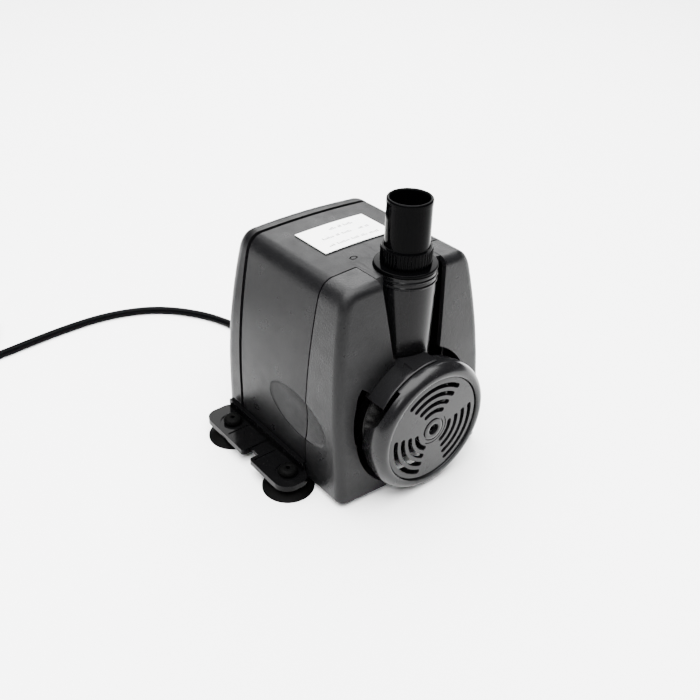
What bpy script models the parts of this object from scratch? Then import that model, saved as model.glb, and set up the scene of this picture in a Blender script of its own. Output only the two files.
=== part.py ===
"""Submersible fountain pump with a vertical outlet, a flow dial and suction feet.

Frame: +X to the right seen from the front, the front faces -Y, +Z up.
The origin is on the floor under the middle of the pump, cord left out.
"""
import math

import bmesh
import bpy
from mathutils import Matrix, Vector

MM = 0.001
GAP = 0.3          # clearance between touching pieces, mm

# barrel-shaped body, mm
BODY_BOTTOM = 2.0
BODY_TOP = 106.6
HALF_WIDTH = 44.6
SIDE_TAPER = 6.6           # lost half width at the shoulder
CROWN = 1.6                # drop of the top towards its sides
BOTTOM_RADIUS = 2.6
SHOULDER_RADIUS = 10.0
SEAM_Y = -16.0             # between front casing and motor housing
GROOVE_Y = 37.4            # between motor housing and rear cover
GROOVE_WIDTH = 1.6
FRONT_FOOT_Y = -42.2
REAR_FOOT_Y = 54.0
FRONT_BULGE = 2.2
REAR_BULGE = 0.8
FRONT_ROUND = 4.0
REAR_ROUND = 7.0
CASING_WALL = 2.4
HOUSING_WALL = 3.0

# rotor line
AXIS_Z = 34.0
OPENING_RADIUS = 34.6
COLLAR_INNER = 33.4
COLLAR_OUTER = 34.2
OPENING_DEPTH = -33.0      # the opening is cut through the front wall only
DIAL_RADIUS = 33.0
DIAL_FRONT = -54.8
DIAL_BACK = -41.0
GRILLE_RADIUS = 26.8
SLOT_RADII = (22.9, 18.6, 14.3, 10.1)
SLOT_WIDTH = 2.4
SLOT_CENTRES = (92.0, 212.0, 332.0)
SLOT_SPANS = (75.0, 72.0, 66.0, 57.0)

# outlet line
PIPE_X = 1.6
PIPE_Y = -26.5
PIPE_TOP = 106.3
PIPE_RADIUS = 13.8
PIPE_BORE = 10.6
NOZZLE_TOP = 137.9
NOZZLE_RADIUS = 10.0
NOZZLE_BORE = 8.3
CHANNEL_LOW = (62.0, 13.6)     # height and half width of the casing's channel
CHANNEL_HIGH = (107.0, 19.0)

# pump chamber and motor
CHAMBER_RADIUS = 27.0
CHAMBER_FRONT = -36.0
CHAMBER_BACK = -14.0
HOUSING_FACE = -12.2
WELL_RADIUS = 12.2
WELL_END = 27.5

# feet
FOOT_INNER = 45.2
FOOT_OUTER = 62.0
FOOT_RAIL = 47.8
FOOT_LOW = 5.4
FOOT_HIGH = 8.4
CUP_X = 53.0
CUP_YS = {"front": -13.5, "rear": 34.5}
CUP_RADIUS = 12.5

# mains cord, laid on the floor, with the spare length in a coil
CORD_DIAMETER = 4.4
CORD_EXIT = (2.0, 78.0, 20.0)
COIL_CENTRE = (-150.0, 204.0)
COIL_INNER = 20.0
COIL_OUTER = 34.0
COIL_HEIGHT = 10.6
COIL_LOW = 1.4             # the coil lies on its tie
PLUG_PLACE = (-181.8, 238.0)
PLUG_HALF = (17.0, 18.0, 6.8)
CORD_ROUTE = (
    (2.0, 78.3, 20.0),
    (2.2, 88.0, 18.6),
    (2.6, 99.0, 12.6),
    (2.4, 110.0, 5.4),
    (1.4, 119.0, 2.6),
    (-1.0, 128.0, 2.3),
    (-5.2, 138.0, 2.3),
    (-11.0, 147.5, 2.3),
    (-18.2, 156.5, 2.3),
    (-27.5, 164.6, 2.3),
    (-38.0, 170.4, 2.3),
    (-51.0, 174.6, 2.3),
    (-66.0, 176.6, 2.3),
    (-84.0, 176.4, 2.3),
    (-102.0, 174.8, 2.3),
    (-118.0, 173.0, 2.3),
    (-132.4, 172.2, 2.3),
)
TAIL_ROUTE = (
    (-181.5, 221.6, 8.0),
    (-181.6, 227.0, 7.6),
    (-181.8, 232.6, 7.1),
    (-181.8, 237.3, 7.0),
)


def clear_scene():
    for item in list(bpy.data.objects):
        bpy.data.objects.remove(item, do_unlink=True)


def material(name, colour, roughness, metallic=0.0):
    made = bpy.data.materials.get(name)
    if made is None:
        made = bpy.data.materials.new(name)
        made.use_nodes = True
        shader = made.node_tree.nodes["Principled BSDF"]
        shader.inputs["Base Color"].default_value = (*colour, 1.0)
        shader.inputs["Roughness"].default_value = roughness
        shader.inputs["Metallic"].default_value = metallic
    return made


def satin_black():
    return material("satin_black_plastic", (0.022, 0.022, 0.023), 0.42)


def gloss_black():
    return material("gloss_black_plastic", (0.012, 0.012, 0.013), 0.16)


def black_rubber():
    return material("black_rubber", (0.014, 0.014, 0.014), 0.6)


def white_plastic():
    return material("white_plastic", (0.72, 0.71, 0.68), 0.4)


def copper():
    return material("enamelled_copper", (0.62, 0.24, 0.09), 0.3, 1.0)


def steel():
    return material("steel_sheet", (0.42, 0.42, 0.43), 0.38, 1.0)


def resin():
    return material("potting_resin", (0.03, 0.028, 0.026), 0.35)


def add_object(name, mesh_builder, finish, smooth=True):
    """Turn a bmesh in millimetres into a named object with one material."""
    bmesh.ops.recalc_face_normals(mesh_builder, faces=mesh_builder.faces)
    bmesh.ops.scale(mesh_builder, vec=(MM, MM, MM), verts=mesh_builder.verts)
    mesh = bpy.data.meshes.new(name)
    mesh_builder.to_mesh(mesh)
    mesh_builder.free()
    if smooth:
        mesh.shade_smooth()
        mesh.set_sharp_from_angle(angle=math.radians(35.0))
    mesh.materials.append(finish)
    made = bpy.data.objects.new(name, mesh)
    bpy.context.scene.collection.objects.link(made)
    return made


def boolean(target, tool, operation):
    tool.hide_render = True
    tool.display_type = "WIRE"
    step = target.modifiers.new(operation.lower(), "BOOLEAN")
    step.operation = operation
    step.solver = "EXACT"
    step.object = tool


def cut(target, builder, name="cutter"):
    boolean(target, add_object(name, builder, satin_black(), False), "DIFFERENCE")


def fuse(target, builder, name="addition"):
    boolean(target, add_object(name, builder, satin_black(), False), "UNION")


def rest_origin_at(item, place):
    """Move an object's origin to a joint axis and keep its mesh where it is."""
    shift = Vector(place) * MM
    item.data.transform(Matrix.Translation(-shift))
    item.location = shift


def skin(rings, closed=False):
    """Join equal loops of points into one closed body."""
    made = bmesh.new()
    loops = [[made.verts.new(point) for point in ring] for ring in rings]
    count = len(loops[0])
    last = len(loops) if closed else len(loops) - 1
    for index in range(last):
        here = loops[index]
        there = loops[(index + 1) % len(loops)]
        for k in range(count):
            nxt = (k + 1) % count
            made.faces.new((here[k], here[nxt], there[nxt], there[k]))
    if not closed:
        made.faces.new(loops[0])
        made.faces.new(loops[-1])
    return made


def around_y(radius, along, angle, centre):
    return (centre[0] + radius * math.cos(angle), along, centre[1] + radius * math.sin(angle))


def around_z(radius, along, angle, centre):
    return (centre[0] + radius * math.cos(angle), centre[1] + radius * math.sin(angle), along)


def turned(profile, place, centre, steps, hollow=True):
    """Spin (radius, along) points about an axis: a ring, or a solid with flat ends."""
    turns = [2.0 * math.pi * k / steps for k in range(steps)]
    rings = [[place(radius, along, turn, centre) for turn in turns] for radius, along in profile]
    return skin(rings, closed=hollow)


def box(low, high):
    made = bmesh.new()
    bmesh.ops.create_cube(made, size=1.0)
    size = [b - a for a, b in zip(low, high)]
    middle = [(a + b) / 2.0 for a, b in zip(low, high)]
    bmesh.ops.scale(made, vec=size, verts=made.verts)
    bmesh.ops.translate(made, vec=middle, verts=made.verts)
    return made


def soft_box(low, high, radius, segments=2):
    made = box(low, high)
    bmesh.ops.bevel(made, geom=made.edges, offset=radius, segments=segments, affect="EDGES", profile=0.5)
    return made


def prism(outline, low, high, axis):
    """Extrude an outline of (a, b) points along one axis."""
    places = {
        "x": lambda a, b, along: (along, a, b),
        "y": lambda a, b, along: (a, along, b),
        "z": lambda a, b, along: (a, b, along),
    }
    place = places[axis]
    return skin([[place(a, b, along) for a, b in outline] for along in (low, high)])


def arc(centre, radius, start, end, steps):
    return [
        (
            centre[0] + radius * math.cos(math.radians(start + (end - start) * k / steps)),
            centre[1] + radius * math.sin(math.radians(start + (end - start) * k / steps)),
        )
        for k in range(steps + 1)
    ]


def rounded_rectangle(x0, x1, y0, y1, radius, steps=4):
    corners = (
        ((x1 - radius, y0 + radius), -90.0),
        ((x1 - radius, y1 - radius), 0.0),
        ((x0 + radius, y1 - radius), 90.0),
        ((x0 + radius, y0 + radius), 180.0),
    )
    outline = []
    for centre, start in corners:
        outline.extend(arc(centre, radius, start, start + 90.0, steps))
    return outline


# ---------------------------------------------------------------- body shape

def half_width(z):
    rise = max(0.0, (z - 30.0) / 66.0)
    return HALF_WIDTH - SIDE_TAPER * rise * rise


def top_height(x):
    return BODY_TOP - CROWN * (x / 38.0) ** 2


def body_loop(inset, rounding=0.0):
    """Barrel outline in the XZ plane, moved inwards by inset; rounding draws the bottom in less."""
    low = BODY_BOTTOM + inset + 0.3 * rounding
    inset = inset + rounding
    corner = max(BOTTOM_RADIUS - inset, 0.8)
    shoulder = max(SHOULDER_RADIUS - 0.6 * inset, 3.0)
    foot = half_width(low + corner) - inset
    right = [(0.0, low), (foot * 0.5, low)]
    right += arc((foot - corner, low + corner), corner, -90.0, 0.0, 3)
    side_top = BODY_TOP - inset - shoulder
    for k in range(1, 8):
        z = low + corner + (side_top - low - corner) * k / 7
        right.append((half_width(z) - inset, z))
    start = Vector(right[-1])
    end_x = start.x - shoulder * 0.95
    end = Vector((end_x, top_height(end_x) - inset))
    slope = half_width(side_top) - half_width(side_top - 1.0)
    knee = Vector((start.x + slope * (end.y - start.y), end.y + 0.3))
    for k in range(1, 6):
        t = k / 5
        point = (1 - t) ** 2 * start + 2 * t * (1 - t) * knee + t * t * end
        right.append((point.x, point.y))
    for k in range(1, 4):
        x = end_x * (1 - k / 4)
        right.append((x, top_height(x) - inset))
    top = [(0.0, BODY_TOP - inset)]
    left = [(-x, z) for x, z in reversed(right[1:])]
    return right + top + left


def front_y(x, z):
    lean = 0.06 * z + 0.00045 * z * z
    return FRONT_FOOT_Y + lean - FRONT_BULGE * (1.0 - min(1.0, abs(x) / 44.0) ** 2)


def rear_y(x, z):
    return REAR_FOOT_Y - 0.0005 * z * z + REAR_BULGE * (1.0 - min(1.0, abs(x) / 44.0) ** 2)


def body_solid(start_y, face, sign, rounding, wall):
    """Solid from a flat plane at start_y to a rounded, leaning end face."""
    rings = [[(x, start_y, z) for x, z in body_loop(wall)]]
    for k in range(4):
        turn = math.radians(90.0 * k / 3)
        edge = rounding * (1.0 - math.cos(turn))
        back = rounding * (1.0 - math.sin(turn)) + wall
        rings.append([(x, face(x, z) - sign * back, z) for x, z in body_loop(wall, edge)])
    for extra in (12.0, 24.0):
        rings.append([(x, face(x, z) - sign * wall, z) for x, z in body_loop(wall + extra)])
    return skin(rings)


def channel_outline(slack):
    low_z, low_half = CHANNEL_LOW
    high_z, high_half = CHANNEL_HIGH
    low = low_half + slack
    high = high_half + slack
    return [
        (PIPE_X - low, low_z),
        (PIPE_X + low, low_z),
        (PIPE_X + high, high_z),
        (PIPE_X + high, high_z + 8.0),
        (PIPE_X - high, high_z + 8.0),
        (PIPE_X - high, high_z),
    ]


def oval_pad(depth):
    """Slanted oval on the left wall, as a prism along X."""
    tilt = math.radians(8.0)
    outline = []
    for k in range(28):
        turn = 2.0 * math.pi * k / 28
        a = 22.0 * math.cos(turn)
        b = 10.8 * math.sin(turn)
        outline.append((-9.0 + a * math.cos(tilt) - b * math.sin(tilt),
                        36.0 + a * math.sin(tilt) + b * math.cos(tilt)))
    return prism(outline, -half_width(36.0) - 4.0, -half_width(36.0) + depth, "x")


# -------------------------------------------------------------- outer shells

def make_front_casing():
    casing = add_object("front_casing", body_solid(SEAM_Y, front_y, -1, FRONT_ROUND, 0.0), satin_black())
    cut(casing, body_solid(SEAM_Y + 6.0, front_y, -1, FRONT_ROUND - 1.6, CASING_WALL), "casing_inside")
    opening = [(OPENING_RADIUS, -60.0), (OPENING_RADIUS, OPENING_DEPTH)]
    cut(casing, turned(opening, around_y, (0.0, AXIS_Z), 48, hollow=False), "dial_opening")
    cut(casing, port_pocket(), "port_pocket")
    cut(casing, prism(channel_outline(0.0), -60.0, SEAM_Y + 4.0, "y"), "pipe_channel")
    cut(casing, oval_pad(0.7), "oval_front")
    return casing


def make_motor_housing():
    loop = body_loop(0.0)
    start = SEAM_Y + GAP
    rings = [[(x, y, z) for x, z in loop] for y in (start, GROOVE_Y)]
    housing = add_object("motor_housing", skin(rings), satin_black())
    recess = [[(x, y, z) for x, z in body_loop(HOUSING_WALL)] for y in (start - 5.0, HOUSING_FACE)]
    cut(housing, skin(recess), "front_recess")
    cavity = [[(x, y, z) for x, z in body_loop(HOUSING_WALL)] for y in (HOUSING_FACE + 2.6, GROOVE_Y + 5.0)]
    cut(housing, skin(cavity), "winding_space")
    fuse(housing, make_tongue(), "tongue")
    well = [(WELL_RADIUS + 1.6, HOUSING_FACE + 1.0), (WELL_RADIUS + 1.6, WELL_END + 1.6)]
    fuse(housing, turned(well, around_y, (0.0, AXIS_Z), 32, hollow=False), "rotor_well")
    bore = [(WELL_RADIUS, HOUSING_FACE - 6.0), (WELL_RADIUS, WELL_END)]
    cut(housing, turned(bore, around_y, (0.0, AXIS_Z), 32, hollow=False), "well_bore")
    saddle = [(PIPE_RADIUS + 0.7, 40.0), (PIPE_RADIUS + 0.7, 130.0)]
    cut(housing, turned(saddle, around_z, (PIPE_X, PIPE_Y), 40, hollow=False), "pipe_saddle")
    cut(housing, oval_pad(0.7), "oval_rear")
    return housing


def make_tongue():
    """Saddle behind the outlet pipe, level with the body's top."""
    low = 66.0
    low_half = CHANNEL_LOW[1] + (CHANNEL_HIGH[1] - CHANNEL_LOW[1]) * (low - CHANNEL_LOW[0]) / 45.0 - 0.45
    high_half = CHANNEL_HIGH[1] - 0.5
    outline = [(PIPE_X - low_half, low), (PIPE_X + low_half, low), (PIPE_X + high_half, 104.8)]
    for k in range(7):
        x = PIPE_X + high_half - 2.0 * high_half * k / 6
        outline.append((x, top_height(x)))
    outline.append((PIPE_X - high_half, 104.8))
    return prism(outline, -28.5, HOUSING_FACE + 1.2, "y")


def make_rear_cover():
    start = GROOVE_Y + GROOVE_WIDTH
    cover = add_object("rear_cover", body_solid(start, rear_y, 1, REAR_ROUND, 0.0), satin_black())
    cut(cover, body_solid(start - 6.0, rear_y, 1, REAR_ROUND - 1.6, HOUSING_WALL), "cover_inside")
    hole = [(4.6, 40.0), (4.6, 60.0)]
    cut(cover, turned(hole, around_y, (CORD_EXIT[0], CORD_EXIT[2]), 20, hollow=False), "cord_hole")
    return cover


def make_rear_seal():
    """Rubber ring pressed in the groove, set back from both shells."""
    outer = body_loop(1.5)
    inner = body_loop(HOUSING_WALL + 1.4)
    low = GROOVE_Y + GAP
    high = GROOVE_Y + GROOVE_WIDTH - GAP
    rings = [
        [(x, low, z) for x, z in outer],
        [(x, high, z) for x, z in outer],
        [(x, high, z) for x, z in inner],
        [(x, low, z) for x, z in inner],
    ]
    return add_object("rear_seal", skin(rings, closed=True), black_rubber())


def make_rating_label():
    """Sticker that follows the crown of the top."""
    x0, x1 = -20.5, 18.8
    y0, y1 = 1.3, 24.6
    lift, thick = GAP, 0.35
    steps = 8
    xs = [x0 + (x1 - x0) * k / steps for k in range(steps + 1)]
    outline = [(x, top_height(x) + lift) for x in xs]
    outline += [(x, top_height(x) + lift + thick) for x in reversed(xs)]
    return add_object("rating_label", prism(outline, y0, y1, "y"),
                      material("label_film", (0.86, 0.86, 0.84), 0.35))


# ------------------------------------------------------------- pump chamber

def make_chamber_cover():
    """Round pump chamber with the outlet pipe standing on it."""
    centre = (0.0, AXIS_Z)
    drum = [(CHAMBER_RADIUS, CHAMBER_FRONT), (CHAMBER_RADIUS, CHAMBER_BACK)]
    cover = add_object("pump_chamber_cover", turned(drum, around_y, centre, 48, hollow=False), satin_black())
    pipe = [
        (PIPE_RADIUS - 0.8, 50.0),
        (PIPE_RADIUS, 99.0),
        (PIPE_RADIUS, 101.0),
        (PIPE_RADIUS + 0.35, 101.5),
        (PIPE_RADIUS, 102.0),
        (PIPE_RADIUS, 103.6),
        (PIPE_RADIUS + 0.35, 104.1),
        (PIPE_RADIUS, 104.6),
        (PIPE_RADIUS, PIPE_TOP),
    ]
    fuse(cover, turned(pipe, around_z, (PIPE_X, PIPE_Y), 40, hollow=False), "pipe")
    cut(cover, box((-32.0, CHAMBER_BACK, 0.0), (32.0, CHAMBER_BACK + 9.0, 62.4)), "flat_back")
    room = [(CHAMBER_RADIUS - 2.2, CHAMBER_FRONT + 2.2), (CHAMBER_RADIUS - 2.2, CHAMBER_BACK + 12.0)]
    cut(cover, turned(room, around_y, centre, 48, hollow=False), "chamber_room")
    bore = [(PIPE_BORE - 1.4, 46.0), (PIPE_BORE - 1.4, 92.0), (PIPE_BORE, 92.6), (PIPE_BORE, 120.0)]
    cut(cover, turned(bore, around_z, (PIPE_X, PIPE_Y), 32, hollow=False), "pipe_bore")
    eye = [(9.0, CHAMBER_FRONT - 5.0), (9.0, CHAMBER_FRONT + 6.0)]
    cut(cover, turned(eye, around_y, centre, 32, hollow=False), "eye")
    fuse(cover, make_eye_spider(), "eye_spider")
    seat = [(3.3, CHAMBER_FRONT - 5.0), (3.3, CHAMBER_FRONT + 9.0)]
    cut(cover, turned(seat, around_y, centre, 20, hollow=False), "bushing_seat")
    return cover


def make_eye_spider():
    """Hub on three arms across the eye, which holds the front bushing."""
    outline = []
    for arm in range(3):
        turn = 90.0 + 120.0 * arm
        across = math.radians(turn + 90.0)
        out = Vector((math.cos(math.radians(turn)), math.sin(math.radians(turn))))
        side = Vector((math.cos(across), math.sin(across)))
        for reach, offset in ((4.6, -1.0), (10.2, -1.0), (10.2, 1.0), (4.6, 1.0)):
            point = out * reach + side * offset
            outline.append((point.x, point.y + AXIS_Z))
        outline.extend((x, z) for x, z in arc((0.0, AXIS_Z), 4.7, turn + 30.0, turn + 90.0, 3))
    return prism(outline, CHAMBER_FRONT + 0.2, CHAMBER_FRONT + 2.0, "y")


def make_chamber_seal():
    low = CHAMBER_BACK + GAP
    high = HOUSING_FACE - GAP
    profile = [(23.8, low), (CHAMBER_RADIUS, low), (CHAMBER_RADIUS, high), (23.8, high)]
    return add_object("chamber_seal", turned(profile, around_y, (0.0, AXIS_Z), 32), black_rubber())


def make_outlet_nozzle():
    """Hose tube on a knurled collar and a flange, pressed into the pipe."""
    flange_low = PIPE_TOP + GAP
    flange_high = flange_low + 1.6
    knurl_top = NOZZLE_TOP - 21.7
    profile = [
        (NOZZLE_BORE, NOZZLE_TOP - 0.7),
        (NOZZLE_BORE + 0.8, NOZZLE_TOP),
        (NOZZLE_RADIUS - 0.8, NOZZLE_TOP),
        (NOZZLE_RADIUS, NOZZLE_TOP - 1.1),
        (NOZZLE_RADIUS - 0.15, knurl_top),
        (11.0, knurl_top - 0.5),
        (11.0, flange_high),
        (13.8, flange_high),
        (14.2, flange_high - 0.4),
        (14.2, flange_low),
        (PIPE_BORE - 0.4, flange_low),
        (PIPE_BORE - 0.4, 94.5),
        (NOZZLE_BORE, 94.5),
    ]
    nozzle = add_object("outlet_nozzle", turned(profile, around_z, (PIPE_X, PIPE_Y), 40), gloss_black())
    fuse(nozzle, make_knurl(flange_high - 0.2, knurl_top - 0.6), "knurl")
    rest_origin_at(nozzle, (PIPE_X, PIPE_Y, flange_low))
    return nozzle


def make_knurl(low, high):
    teeth = 24
    outline = []
    for tooth in range(teeth):
        for part, radius in ((0.0, 10.9), (0.3, 11.45), (0.7, 11.45)):
            turn = 2.0 * math.pi * (tooth + part) / teeth
            outline.append((PIPE_X + radius * math.cos(turn), PIPE_Y + radius * math.sin(turn)))
    inner = [(PIPE_X + (x - PIPE_X) * 0.9, PIPE_Y + (y - PIPE_Y) * 0.9) for x, y in outline]
    rings = [
        [(x, y, low) for x, y in outline],
        [(x, y, high) for x, y in outline],
        [(x, y, high) for x, y in inner],
        [(x, y, low) for x, y in inner],
    ]
    return skin(rings, closed=True)


def make_nozzle_seal():
    """Rubber ring under the nozzle's lower end, on the step of the bore."""
    inner, outer = NOZZLE_BORE + 1.3, PIPE_BORE - GAP
    profile = [(inner, 93.0), (outer, 93.0), (outer, 94.2), (inner, 94.2)]
    return add_object("nozzle_seal", turned(profile, around_z, (PIPE_X, PIPE_Y), 24), black_rubber())


# ------------------------------------------------------------------- rotor

def make_impeller():
    centre = (0.0, AXIS_Z)
    hub = [(2.2, -31.5), (5.2, -31.5), (5.2, -20.6), (20.0, -20.6), (20.0, -18.8), (2.2, -18.8)]
    wheel = add_object("impeller", turned(hub, around_y, centre, 32), white_plastic())
    for blade in range(6):
        made = box((4.6, -30.5, -0.9), (19.6, -20.0, 0.9))
        spin = Matrix.Rotation(math.radians(60.0 * blade), 4, "Y")
        bmesh.ops.transform(made, matrix=Matrix.Translation((0.0, 0.0, AXIS_Z)) @ spin, verts=made.verts)
        fuse(wheel, made, f"blade_{blade}")
    rest_origin_at(wheel, (0.0, -20.0, AXIS_Z))
    return wheel


def make_rotor_parts():
    centre = (0.0, AXIS_Z)
    sleeve = [(2.2, -18.4), (5.0, -18.4), (5.0, 23.0), (2.2, 23.0)]
    made = [add_object("rotor_sleeve", turned(sleeve, around_y, centre, 24), white_plastic())]
    magnet = [(5.3, -8.0), (10.2, -8.0), (10.8, -7.4), (10.8, 21.4), (10.2, 22.0), (5.3, 22.0)]
    made.append(add_object("rotor_magnet", turned(magnet, around_y, centre, 32),
                           material("ferrite", (0.035, 0.034, 0.036), 0.5)))
    for item in made:
        rest_origin_at(item, (0.0, 0.0, AXIS_Z))
    return made


def make_shaft_and_bushings():
    centre = (0.0, AXIS_Z)
    shaft = [(1.5, -34.6), (1.8, -34.2), (1.8, 25.4), (1.5, 25.8)]
    add_object("rotor_shaft", turned(shaft, around_y, centre, 16, hollow=False),
               material("ceramic", (0.8, 0.79, 0.76), 0.2))
    front = [(2.1, CHAMBER_FRONT + 0.4), (3.0, CHAMBER_FRONT + 0.4), (3.0, -32.2), (2.1, -32.2)]
    add_object("front_bushing", turned(front, around_y, centre, 20), black_rubber())
    rear = [(2.1, 23.4), (5.6, 23.4), (5.6, 27.0), (2.1, 27.0)]
    add_object("rear_bushing", turned(rear, around_y, centre, 24), black_rubber())


# ------------------------------------------------------------------- motor

def make_stator_core():
    """Laminated U of sheet steel, open downwards round the rotor well."""
    outline = [
        (-26.0, 22.0), (-14.8, 22.0), (-14.8, 82.0), (14.8, 82.0),
        (14.8, 22.0), (26.0, 22.0), (26.0, 93.0), (-26.0, 93.0),
    ]
    return add_object("stator_core", prism(outline, -4.0, 22.0, "y"), steel(), smooth=False)


def square_ring(inner, outer, low, high, radius):
    """Ring round a core leg, between two rectangles given as half sizes."""
    inside = rounded_rectangle(-inner[0], inner[0], -inner[1], inner[1], 0.4, 3)
    outside = rounded_rectangle(-outer[0], outer[0], -outer[1], outer[1], radius, 3)
    rings = [
        [(x, y, low) for x, y in outside],
        [(x, y, high) for x, y in outside],
        [(x, y, high) for x, y in inside],
        [(x, y, low) for x, y in inside],
    ]
    return skin(rings, closed=True)


def make_coils():
    leg_x = 20.4
    leg_y = 9.0
    for side, sign in (("left", -1), ("right", 1)):
        shift = (sign * leg_x, leg_y, 0.0)
        bobbin = square_ring((5.9, 13.3), (6.7, 14.1), 50.0, 80.0, 0.8)
        bmesh.ops.translate(bobbin, vec=shift, verts=bobbin.verts)
        spool = add_object(f"bobbin_{side}", bobbin, white_plastic())
        for low in (50.0, 78.6):
            rim = square_ring((6.0, 13.4), (11.2, 18.6), low, low + 1.4, 2.0)
            bmesh.ops.translate(rim, vec=shift, verts=rim.verts)
            fuse(spool, rim, "rim")
        winding = square_ring((7.0, 14.4), (10.6, 18.0), 51.7, 78.3, 2.4)
        bmesh.ops.translate(winding, vec=shift, verts=winding.verts)
        add_object(f"winding_{side}", winding, copper())


def make_wiring():
    """Resin slab that seals the motor, with the two supply leads behind it."""
    slab = [[(x, y, z) for x, z in body_loop(HOUSING_WALL + 0.5)] for y in (30.0, 34.0)]
    add_object("potting_slab", skin(slab), resin())
    for side, sign, colour in (("live", 1, (0.25, 0.12, 0.05)), ("neutral", -1, (0.05, 0.12, 0.4))):
        low = (sign * 16.0 - 3.0, 34.3, 58.0)
        high = (sign * 16.0 + 3.0, 38.5, 66.0)
        add_object(f"terminal_{side}", soft_box(low, high, 0.6, 1), white_plastic())
        finish = material(f"lead_{side}", colour, 0.45)
        route = (
            (CORD_EXIT[0] + sign * 1.3, 49.4, CORD_EXIT[2]),
            (CORD_EXIT[0] + sign * 2.5, 45.5, 21.5),
            (sign * 8.0, 42.2, 30.0),
            (sign * 14.0, 41.2, 44.0),
            (sign * 16.0, 40.6, 57.0),
            (sign * 16.0, 40.4, 64.0),
        )
        cord_tube(f"lead_{side}", route, 1.6, 5.5, finish)
    add_object("thermal_fuse", soft_box((-6.0, 34.3, 70.0), (6.0, 38.0, 75.0), 1.2, 1), white_plastic())


# ----------------------------------------------------------- collar and dial

def ring_sector(inner, outer, start, end, low, high, steps):
    """Piece of a ring about the rotor line, between two angles."""
    outline = arc((0.0, AXIS_Z), outer, start, end, steps)
    outline += arc((0.0, AXIS_Z), inner, end, start, steps)
    return prism(outline, low, high, "y")


def between(knots, value):
    """Straight-line reading from (place, height) knots."""
    for (a, low), (b, high) in zip(knots, knots[1:]):
        if value <= b:
            return low + (high - low) * (value - a) / (b - a)
    return knots[-1][1]


def sector_sweep(turns, section):
    """Closed body that sweeps a (radius, y) section, which may change, about the dial's axis."""
    rings = []
    for turn in turns:
        rings.append([around_y(radius, y, math.radians(turn), (0.0, AXIS_Z)) for radius, y in section(turn)])
    return skin(rings)


def port_pocket():
    """Widening of the casing's opening at the upper left, which leads water to the side port."""
    reach = ((139.0, 40.2), (145.0, 40.0), (153.0, 38.2), (165.0, 36.9), (182.0, 34.9))
    turns = [139.0 + 43.0 * k / 12 for k in range(13)]

    def section(turn):
        outer = between(reach, turn)
        return [(31.0, -60.0), (outer, -60.0), (outer, OPENING_DEPTH), (31.0, OPENING_DEPTH)]

    return sector_sweep(turns, section)


def side_port():
    """Cutter for the dial's side port, with a slanted lower edge."""
    edge = ((126.0, -50.6), (146.0, -50.2), (157.0, -49.0), (169.0, -40.5))
    turns = [126.0 + 43.0 * k / 12 for k in range(13)]

    def section(turn):
        front = between(edge, turn)
        return [(22.0, front), (40.0, front), (40.0, -36.0), (22.0, -36.0)]

    return sector_sweep(turns, section)


def make_port_collar():
    """Curved gate round the dial, which shades the side port."""
    wall = ring_sector(COLLAR_INNER, COLLAR_OUTER, 84.0, 143.0, -48.6, -36.6, 14)
    collar = add_object("port_collar", wall, satin_black())
    fuse(collar, ring_sector(31.4, COLLAR_OUTER - 0.2, 85.0, 142.0, -38.2, -36.8, 14), "collar_root")
    relief = [(PIPE_RADIUS + 0.4, 40.0), (PIPE_RADIUS + 0.4, 90.0)]
    cut(collar, turned(relief, around_z, (PIPE_X, PIPE_Y), 32, hollow=False), "pipe_relief")
    return collar


def make_flow_dial():
    """Round cap with a rolled rim and a port cut in its side wall."""
    profile = [
        (GRILLE_RADIUS + GAP, DIAL_FRONT + 0.9),
        (GRILLE_RADIUS + 0.8, DIAL_FRONT + 0.25),
        (GRILLE_RADIUS + 1.8, DIAL_FRONT),
        (DIAL_RADIUS - 2.7, DIAL_FRONT + 0.5),
        (DIAL_RADIUS - 1.3, DIAL_FRONT + 1.6),
        (DIAL_RADIUS - 0.4, DIAL_FRONT + 3.2),
        (DIAL_RADIUS, DIAL_FRONT + 5.2),
        (DIAL_RADIUS, DIAL_FRONT + 7.2),
        (DIAL_RADIUS - 1.4, DIAL_BACK),
        (DIAL_RADIUS - 3.2, DIAL_BACK),
        (DIAL_RADIUS - 2.6, DIAL_FRONT + 7.0),
        (DIAL_RADIUS - 3.6, DIAL_FRONT + 4.4),
        (GRILLE_RADIUS + GAP, DIAL_FRONT + 3.4),
    ]
    dial = add_object("flow_dial", turned(profile, around_y, (0.0, AXIS_Z), 48), satin_black())
    cut(dial, side_port(), "side_port")
    rest_origin_at(dial, (0.0, DIAL_BACK, AXIS_Z))
    return dial


def slot(radius, start, end):
    """Cutter for one curved slot with round ends."""
    half = SLOT_WIDTH / 2.0
    outline = arc((0.0, AXIS_Z), radius + half, start, end, 7)
    tip = arc((0.0, AXIS_Z), radius, end, end, 1)[0]
    outline += arc(tip, half, end, end + 180.0, 4)[1:-1]
    outline += arc((0.0, AXIS_Z), radius - half, end, start, 7)
    tail = arc((0.0, AXIS_Z), radius, start, start, 1)[0]
    outline += arc(tail, half, start + 180.0, start + 360.0, 4)[1:-1]
    return prism(outline, DIAL_FRONT - 3.0, DIAL_FRONT + 6.0, "y")


def make_dial_grille():
    """Disc in the dial with three groups of four curved slots."""
    front = DIAL_FRONT + 1.1
    profile = [(2.6, front), (GRILLE_RADIUS - 0.4, front), (GRILLE_RADIUS, front + 0.4),
               (GRILLE_RADIUS, front + 2.0), (2.6, front + 2.0)]
    grille = add_object("dial_grille", turned(profile, around_y, (0.0, AXIS_Z), 48), satin_black())
    for middle in SLOT_CENTRES:
        for radius, span in zip(SLOT_RADII, SLOT_SPANS):
            cut(grille, slot(radius, middle - span / 2.0, middle + span / 2.0), "slot")
    rest_origin_at(grille, (0.0, DIAL_FRONT, AXIS_Z))
    return grille


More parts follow.
